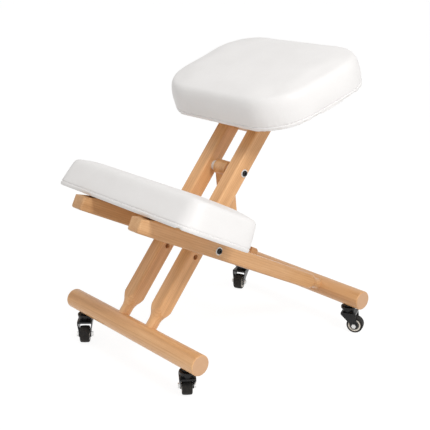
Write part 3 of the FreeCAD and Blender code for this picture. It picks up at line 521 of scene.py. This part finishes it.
WOODEN = [
    ("front_foot_bar", ALONG_X, 0.10, 1.08),
    ("rear_foot_bar", ALONG_X, 0.93, 1.00),
    ("seat_arm_left", ALONG_SEAT_ARM, 1.70, 1.12),
    ("seat_arm_right", ALONG_SEAT_ARM, 2.90, 1.10),
    ("knee_arm_left", ALONG_KNEE_ARM, 3.60, 0.84),
    ("knee_arm_right", ALONG_KNEE_ARM, 4.45, 0.93),
    ("seat_cross_rail", ALONG_X, 5.20, 0.97),
    ("rack_rail_rear", ALONG_X, 5.90, 0.96),
    ("rack_rail_front", ALONG_X, 6.60, 0.97),
    ("notched_rack_left", ALONG_KNEE_ARM, 7.40, 0.95),
    ("notched_rack_right", ALONG_KNEE_ARM, 8.10, 0.98),
    ("strut_foot_dowel", ALONG_X, 8.80, 1.00),
    ("adjusting_strut", ALONG_STRUT, 9.50, 1.00),
]
for node, turn, cut, tone in WOODEN:
    low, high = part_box(node)
    half_length = (high.x - low.x) / 2 if node.endswith("foot_bar") else None
    dress(node, beech("beech_" + node, turn, middle(node), cut, tone, half_length))

FINISHES = {
    "bolts": bolt_black,
    "strut_bolt": bolt_black,
    "nuts": bolt_black,
    "strut_sleeve_nut": bolt_black,
    "washers": nylon_white,
    "spacers": nylon_white,
    "screws": zinc_plate,
    "sockets": nylon_black,
}
CASTER_FINISHES = {
    "stem": zinc_plate,
    "race": fork_black,
    "fork": fork_black,
    "axle": zinc_plate,
    "tyre": tyre_black,
    "hub": hub_cream,
    "guards": nylon_black,
}
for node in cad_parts:
    for ending, material in FINISHES.items():
        if node.endswith(ending):
            dress(node, material)
    if node.startswith("caster_"):
        dress(node, CASTER_FINISHES[node.split("_")[1]])
dress("seat_board", seat_ply)
dress("knee_board", knee_ply)
print("wooden pieces:", len(WOODEN))

# %% [markdown]
# ## Putting a new piece in the scene
# A new piece is shaped in a bmesh, in a frame of its own where it is easy to describe, and
# then moved to its place in its mesh, so that the object itself stays at the origin. It is
# told which part of the chair it moves with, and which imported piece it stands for.

# %% A helper for new pieces


def new_piece(name, bm, place, material, body, node, sharp_angle=None):
    """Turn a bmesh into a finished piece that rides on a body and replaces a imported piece."""
    mesh = bpy.data.meshes.new(name)
    bm.to_mesh(mesh)
    bm.free()
    mesh.transform(place)
    mesh.materials.append(material)
    for face in mesh.polygons:
        face.use_smooth = True
    if sharp_angle is not None:
        mesh.set_sharp_from_angle(angle=sharp_angle)
    piece = bpy.data.objects.new(name, mesh)
    scene.collection.objects.link(piece)
    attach(piece, body)
    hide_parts(node)
    return piece


# %% [markdown]
# ## The cushions
# A cushion is foam under a tight cover, so its shape is a balance: the cover wants to be
# small and the foam wants to be round. A block with rounded edges looks like soap. Here
# the block is a little too small, and a cloth simulation inflates it while its lower edge
# is held, as the staples hold it, which crowns the top and fills the walls. The outline
# starts as four corners, which a bevel rounds. The wall is a list of steps, each of them a
# share of the height and the millimetres drawn in, and each is one inset of the top face.
# Underneath, the foam is hollowed for the board, so that only a lip of cover goes round it.

# %% The outline and the wall of a pad
SEAM_HEIGHT = 8.5 * MM
LIP_WIDTH = 4 * MM
RECESS_SLOPE = 3 * MM
RECESS_DEPTH = 5.5 * MM
CORNER_SEGMENTS = 12
EDGE_CUTS = 15
SEAT_WALL = [(0.40, 0.8), (0.62, 2.2), (0.80, 5.0), (0.92, 9.0), (0.985, 14.0), (1.00, 20.0)]
KNEE_WALL = [(0.35, 2.5), (0.62, 5.0), (0.84, 7.0), (0.94, 9.5), (0.985, 13.0), (1.00, 18.0)]


def pad_outline(front_width, rear_width, depth, corner, waist):
    """Return a bmesh with one flat face: the pad seen from above, its front at -y."""
    bm = bmesh.new()
    bmesh.ops.create_grid(bm, x_segments=1, y_segments=1, size=0.5)
    for vert in bm.verts:
        width = front_width if vert.co.y < 0 else rear_width
        vert.co = Vector((vert.co.x * width, vert.co.y * depth, 0))
    bmesh.ops.bevel(
        bm, geom=list(bm.verts), offset=corner, offset_type="OFFSET",
        segments=CORNER_SEGMENTS, profile=0.5, affect="VERTICES", material=-1,
    )
    rear = [edge for edge in bm.edges if min(vert.co.y for vert in edge.verts) > depth / 2 - MM]
    longest = max(rear, key=lambda edge: edge.calc_length())
    half = longest.calc_length() / 2
    if waist:
        bmesh.ops.subdivide_edges(bm, edges=[longest], cuts=EDGE_CUTS)
        for vert in bm.verts:
            if vert.co.y > depth / 2 - MM and abs(vert.co.x) < half:
                vert.co.y -= waist * (1 - (vert.co.x / half) ** 2)
    return bm


def pad_block(outline, wall, thickness):
    """Return the closed, flat-topped block that a cushion is blown up from."""
    bm = pad_outline(*outline)
    made = bmesh.ops.extrude_face_region(bm, geom=bm.faces[:])
    top = next(part for part in made["geom"] if isinstance(part, bmesh.types.BMFace))
    level, drawn_in = SEAM_HEIGHT, 0
    bmesh.ops.translate(bm, verts=top.verts[:], vec=(0, 0, level))
    for share, inset in wall:
        height = SEAM_HEIGHT + share * (thickness - SEAM_HEIGHT)
        step = inset * MM - drawn_in
        bmesh.ops.inset_region(bm, faces=[top], thickness=step, use_even_offset=True)
        bmesh.ops.translate(bm, verts=top.verts[:], vec=(0, 0, height - level))
        level, drawn_in = height, inset * MM
    low = min(bm.faces, key=lambda face: face.calc_center_median().z)
    bmesh.ops.inset_region(bm, faces=[low], thickness=LIP_WIDTH, use_even_offset=True)
    bmesh.ops.inset_region(bm, faces=[low], thickness=RECESS_SLOPE, use_even_offset=True)
    bmesh.ops.translate(bm, verts=low.verts[:], vec=(0, 0, RECESS_DEPTH))
    bmesh.ops.recalc_face_normals(bm, faces=bm.faces[:])
    return bm


print("wall steps:", len(SEAT_WALL), "for the seat and", len(KNEE_WALL), "for the knee pad")

# %% [markdown]
# ## The cloth
# The simulation runs for twenty frames with an inside pressure and no gravity, and the
# edge below the seam is held.

# %% Blow a block up
PRESSURE = 4.0
LAST_FRAME = 20


def applied_mesh(piece):
    """Return what a piece's modifiers make of it, as a new mesh."""
    bpy.context.view_layer.update()
    depsgraph = bpy.context.evaluated_depsgraph_get()
    return bpy.data.meshes.new_from_object(piece.evaluated_get(depsgraph))


def blown_up(block, start):
    """Return the points of a block after its cloth has been blown up."""
    held = block.vertex_groups.new(name="held")
    held.add([i for i, point in enumerate(start) if point.z < SEAM_HEIGHT], 1.0, "REPLACE")
    cloth = block.modifiers.new("cloth", "CLOTH")
    cloth.settings.use_pressure = True
    cloth.settings.uniform_pressure_force = PRESSURE
    cloth.settings.vertex_group_mass = "held"
    cloth.settings.effector_weights.gravity = 0
    cloth.point_cache.frame_end = LAST_FRAME
    for step in range(1, LAST_FRAME + 1):
        scene.frame_set(step)
    blown = applied_mesh(block)
    scene.frame_set(1)
    return [vert.co.copy() for vert in blown.vertices]


print("the cushions are shaped by", "the cloth simulation")

# %% [markdown]
# ## How far a cushion may swell
# The block is first remeshed to even squares of five millimetres, because cloth needs an
# even mesh. How far each point then moves is limited softly: eight millimetres on the top,
# and about one on the sides, so the pad keeps the size that it really has. The amounts are
# smoothed, each with its neighbours, because raw cloth is lumpy at this scale.

# %% Limit and smooth the swell
VOXEL = 5 * MM
TOP_SWELL = 8 * MM
SIDE_SWELL = 1.2 * MM
SWELL_SMOOTHING = 10
SHAPE_SMOOTHING = 3
SMOOTH_ABOVE = 2 * SEAM_HEIGHT


def inflated(bm, swell):
    """Remesh a block, blow it up within limits, and return it as a bmesh."""
    block = bpy.data.objects.new("block", bpy.data.meshes.new("block"))
    bm.to_mesh(block.data)
    bm.free()
    scene.collection.objects.link(block)
    remesh = block.modifiers.new("remesh", "REMESH")
    remesh.mode = "VOXEL"
    remesh.voxel_size = VOXEL
    even = applied_mesh(block)
    block.modifiers.clear()
    block.data = even
    start = [vert.co.copy() for vert in even.vertices]
    out = [vert.normal.copy() for vert in even.vertices]
    moved = blown_up(block, start)
    result = bmesh.new()
    result.from_mesh(even)
    result.verts.ensure_lookup_table()
    swells = []
    for begin, end, normal in zip(start, moved, out):
        limit = SIDE_SWELL + (swell - SIDE_SWELL) * max(0.0, normal.z) ** 2
        swells.append(limit * math.tanh(max(0.0, (end - begin).dot(normal)) / limit))
    near = [[edge.other_vert(vert).index for edge in vert.link_edges] for vert in result.verts]
    for _ in range(SWELL_SMOOTHING):
        swells = [
            (amount + sum(swells[i] for i in others)) / (1 + len(others))
            for amount, others in zip(swells, near)
        ]
    for vert, begin, normal, amount in zip(result.verts, start, out, swells):
        vert.co = begin + normal * amount
    bpy.data.objects.remove(block)
    for _ in range(SHAPE_SMOOTHING):
        bmesh.ops.smooth_vert(
            result, verts=[vert for vert in result.verts if vert.co.z > SMOOTH_ABOVE],
            factor=0.5, use_axis_x=True, use_axis_y=True, use_axis_z=True,
        )
    return result


print("the top may swell by", round(TOP_SWELL / MM), "mm")

# %% [markdown]
# ## Seam, lip and puckers
# The cover is sewn from a top and a narrow border, and the seam between them runs round
# the pad a little above its lower edge. A remesh would swallow such a thin line,
# so it is cut in afterwards: three level cuts give clean loops of points, and the middle
# one is drawn in. Below it the border stands out as a soft lip. At the corners the cover
# has more cloth than way to go, so it puckers towards the seam, in two waves that don't
# repeat together. Points that face up, down or into the hollow for the board are left out.

# %% Sew the seam
SEAM_DEPTH = 2.6 * MM
SEAM_HALF_WIDTH = 1.5 * MM
LIP_BULGE = 1.4 * MM
PUCKER_DEPTH = 0.55 * MM
PUCKER_WIDTH = 11 * MM
PUCKER_RISE = 26 * MM
PUCKER_TURN = 2.4
SECOND_WAVE = 1.65
UPRIGHT = 0.35
CUT_REACH = 0.05 * MM


def sewn(bm, tuck, lean):
    """Cut the seam into a cushion, add the lip under it and the puckers over it, and tuck it.

    The tuck is how far the wall is pulled in at its foot, and up to which height. The lean
    is how far the top is pushed back for each unit of height.
    """
    cuts = [SEAM_HEIGHT - SEAM_HALF_WIDTH, SEAM_HEIGHT, SEAM_HEIGHT + SEAM_HALF_WIDTH]
    for height in cuts:
        bmesh.ops.bisect_plane(
            bm, geom=bm.verts[:] + bm.edges[:] + bm.faces[:],
            plane_co=(0, 0, height), plane_no=(0, 0, 1), dist=CUT_REACH,
        )
    bm.normal_update()
    for vert in bm.verts:
        outward = Vector((vert.normal.x, vert.normal.y, 0))
        if outward.length < UPRIGHT:
            continue
        outward.normalize()
        if outward.dot(vert.co) < 0:
            continue
        height = vert.co.z
        if abs(height - SEAM_HEIGHT) < 2 * CUT_REACH:
            vert.co -= outward * SEAM_DEPTH
        elif height < SEAM_HEIGHT:
            vert.co += outward * LIP_BULGE * math.sin(math.pi * height / SEAM_HEIGHT)
        else:
            turn = min(1.0, abs(outward.x * outward.y) * PUCKER_TURN)
            nearness = max(0.0, 1 - (height - SEAM_HEIGHT) / PUCKER_RISE) ** 2
            along = 2 * math.pi * (vert.co.x * outward.y - vert.co.y * outward.x) / PUCKER_WIDTH
            wave = math.sin(along) + 0.5 * math.sin(SECOND_WAVE * along + 1)
            vert.co += outward * PUCKER_DEPTH * turn * nearness * wave
        pull, reach = tuck
        vert.co -= outward * pull * max(0.0, 1 - height / reach) ** 1.5
    for vert in bm.verts:
        vert.co.y += lean * max(0.0, vert.co.z - SEAM_HEIGHT)
    return bm


print("the seam is cut", round(SEAM_HEIGHT / MM, 1), "mm above the lower edge")

# %% [markdown]
# ## The two cushions
# An outline is given by its width in front and behind, its depth, the reach of its corners
# and how far its rear edge is drawn in at the middle. Each cushion rides on its own frame
# and takes the place of a plain solid. One level of subdivision smooths it when rendered.

# %% Make the cushions
SEAT_OUTLINE = (408 * MM, 440 * MM, 308 * MM, 100 * MM, 0)
SEAT_THICKNESS = 79.5 * MM
SEAT_TUCK = (3 * MM, 34 * MM)
KNEE_OUTLINE = (468 * MM, 468 * MM, 202 * MM, 39 * MM, 17 * MM)
KNEE_THICKNESS = 75 * MM
KNEE_TUCK = (0.8 * MM, 10 * MM)
KNEE_LEAN = 0.10


def cushion(name, outline, wall, thickness, tuck, lean, place, body, node):
    """Make one finished cushion from its outline's sizes and its wall's steps."""
    block = pad_block(outline, wall, thickness - TOP_SWELL)
    cover = sewn(inflated(block, TOP_SWELL), tuck, lean)
    piece = new_piece(name, cover, place, leather, body, node)
    smooth = piece.modifiers.new("smooth", "SUBSURF")
    smooth.levels = smooth.render_levels = 1
    print(name, "has", len(piece.data.polygons), "faces")


cushion(
    "seat_cover", SEAT_OUTLINE, SEAT_WALL, SEAT_THICKNESS, SEAT_TUCK, 0,
    seat_place, "seat_frame", "seat_cushion",
)
cushion(
    "knee_cover", KNEE_OUTLINE, KNEE_WALL, KNEE_THICKNESS, KNEE_TUCK, KNEE_LEAN,
    knee_place, "knee_frame", "knee_cushion",
)

# %% [markdown]
# ## The tyres
# A caster's tyre is a ring of rubber with soft shoulders, a slightly domed tread and a fine
# line where its mould parted. Such a ring is one closed outline turned about the axle. The
# outline is drawn for one side only and mirrored, so both shoulders are the same, and the
# spin merges its last step with its first, so that the ring has no seam. Each caster
# stands at its own angle, given here in degrees about the upright.

# %% Spin the tyres
TYRE_WIDTH = 22 * MM
TYRE_DEPTH = 5 * MM
SHOULDER_RADIUS = 3.2 * MM
SHOULDER_STEPS = 6
TREAD_DOME = 0.5 * MM
MOULD_LINE = 0.25 * MM
MOULD_LINE_REACH = 0.4 * MM
TYRE_STEPS = 72
SHARP_ANGLE = math.radians(40)
CASTER_TURNS = {"front_left": -40, "front_right": 144, "rear_left": -62, "rear_right": 28}


def tyre_side(radius):
    """Return one half of a tyre's outline as (along the axle, from the axle) points."""
    half = TYRE_WIDTH / 2
    points = [
        (0, radius + MOULD_LINE - TREAD_DOME),
        (MOULD_LINE_REACH, radius - TREAD_DOME / 10),
    ]
    for step in range(SHOULDER_STEPS + 1):
        turn = math.pi / 2 * step / SHOULDER_STEPS
        points.append((
            half - SHOULDER_RADIUS * (1 - math.sin(turn)),
            radius - TREAD_DOME - SHOULDER_RADIUS * (1 - math.cos(turn)),
        ))
    points.append((half, radius - TYRE_DEPTH))
    return points


def tyre(radius):
    """Return a tyre as a bmesh, its axle along x."""
    side = tyre_side(radius)
    outline = side + [(-along, out) for along, out in reversed(side[1:])]
    bm = bmesh.new()
    verts = [bm.verts.new((along, 0, out)) for along, out in outline]
    edges = [bm.edges.new((vert, verts[i - 1])) for i, vert in enumerate(verts)]
    bmesh.ops.spin(
        bm, geom=verts + edges, cent=(0, 0, 0), axis=(1, 0, 0), angle=2 * math.pi,
        steps=TYRE_STEPS, use_merge=True,
    )
    bmesh.ops.remove_doubles(bm, verts=bm.verts[:], dist=0.01 * MM)
    bmesh.ops.recalc_face_normals(bm, faces=bm.faces[:])
    return bm


for corner, degrees in CASTER_TURNS.items():
    node = "caster_tyre_" + corner
    low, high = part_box(node)
    turned = Matrix.Rotation(math.radians(degrees + 90), 4, "Z")
    place = Matrix.Translation(middle(node)) @ turned
    tread = new_piece(
        "tread_" + corner, tyre((high.z - low.z) / 2), place,
        tyre_black, "wheel_" + corner, node, SHARP_ANGLE,
    )
    print(tread.name, "has", len(tread.data.polygons), "faces")

# %% [markdown]
# ## The floor
# The chair stands on a plain white floor. The floor is matt, so it takes the chair's soft
# shadow. For the camera, mirrors and glass most of its white is written in as an emission,
# so that it doesn't need more light than the chair does.

# %% The floor
FLOOR_HALF = 30.0
FLOOR_WRITTEN_WHITE = 0.80
FLOOR_LEVEL = 1.13
FLOOR_COLOURS = ((0.90, 0.90, 0.90), (0.93, 0.93, 0.93))
WHITE = (1, 1, 1)
WHITE_RAYS = ("Is Camera Ray", "Is Glossy Ray", "Is Transmission Ray")


def white_floor():
    """Make the floor's material: matt white, and mostly written-in white to the camera."""
    paint = Paint("studio_floor", Roughness=0.9, Specular_IOR_Level=0.2)
    grain = paint.noise(paint.mapped(), 3.0, 2.0, 0.55)
    paint.feed("Base Color", paint.mixed(grain, *FLOOR_COLOURS))
    rays = paint.node("ShaderNodeLightPath").socket.node.outputs
    camera_ray, glossy_ray, passing_ray = [Value(paint, rays[ray]) for ray in WHITE_RAYS]
    written = (camera_ray + glossy_ray + passing_ray) * FLOOR_WRITTEN_WHITE
    white = paint.node("ShaderNodeEmission", inputs={"Color": WHITE, "Strength": FLOOR_LEVEL})
    surface = Value(paint, paint.shader.outputs[0])
    mixed = paint.node("ShaderNodeMixShader", inputs={0: written, 1: surface, 2: white})
    paint.links.new(mixed.socket, paint.nodes["Material Output"].inputs["Surface"])
    return paint.material


floor_bm = bmesh.new()
bmesh.ops.create_grid(floor_bm, x_segments=1, y_segments=1, size=FLOOR_HALF)
floor_mesh = bpy.data.meshes.new("floor")
floor_bm.to_mesh(floor_mesh)
floor_bm.free()
floor_mesh.materials.append(white_floor())
floor = bpy.data.objects.new("floor", floor_mesh)
scene.collection.objects.link(floor)

print("floor", 2 * FLOOR_HALF, "m wide")

# %% [markdown]
# ## The room
# The same goes for the world around the chair. The camera, mirrors and glass see it white,
# and the chair is lit by a level a little lower and a little warmer. A world has a graph
# of its own, in which Maximum nodes join the three kinds of ray.

# %% The world
WORLD_LEVEL = 0.53
WORLD_TINT = (1.0, 0.985, 0.965)

world = bpy.data.worlds.new("studio")
world.use_nodes = True
scene.world = world
tree = world.node_tree
room = tree.nodes["Background"]
room.inputs["Color"].default_value = (*WORLD_TINT, 1)
room.inputs["Strength"].default_value = WORLD_LEVEL
white_room = tree.nodes.new("ShaderNodeBackground")
white_room.inputs["Color"].default_value = (*WHITE, 1)
white_room.inputs["Strength"].default_value = 1.0
rays = tree.nodes.new("ShaderNodeLightPath").outputs
seen = rays[WHITE_RAYS[0]]
for ray in WHITE_RAYS[1:]:
    either = tree.nodes.new("ShaderNodeMath")
    either.operation = "MAXIMUM"
    tree.links.new(seen, either.inputs[0])
    tree.links.new(rays[ray], either.inputs[1])
    seen = either.outputs[0]
choose = tree.nodes.new("ShaderNodeMixShader")
tree.links.new(seen, choose.inputs[0])
tree.links.new(room.outputs[0], choose.inputs[1])
tree.links.new(white_room.outputs[0], choose.inputs[2])
tree.links.new(choose.outputs[0], tree.nodes["World Output"].inputs["Surface"])
print("world at", WORLD_LEVEL, "of white")

# %% [markdown]
# ## The lamps
# A strong lamp hangs to the right, as the bright right ends of the pads show. A weak one
# in front lifts the near ends of the wood, and a broad one overhead whitens the tops. Each
# lamp has a place in metres, a width in metres and a power in watts.

# %% Hang the lamps
LAMP_TARGET = Vector((0, 0, 0.35))
LAMPS = [
    ("key_lamp", (2.3, -0.3, 2.3), 0.8, 42),
    ("side_lamp", (1.5, -1.7, 1.0), 0.8, 2.2),
    ("top_lamp", (-0.3, -0.2, 3.0), 1.4, 6),
]


def lamp(name, spot, size, power):
    """Hang a square soft lamp that looks at the chair."""
    light = bpy.data.lights.new(name, "AREA")
    light.size = size
    light.energy = power
    hung = bpy.data.objects.new(name, light)
    scene.collection.objects.link(hung)
    looking = (LAMP_TARGET - spot).to_track_quat("-Z", "Y")
    hung.matrix_world = Matrix.Translation(spot) @ looking.to_matrix().to_4x4()


for name, spot, size, power in LAMPS:
    lamp(name, Vector(spot), size, power)
scene.view_settings.view_transform = "Standard"
print("lamps:", len(LAMPS))
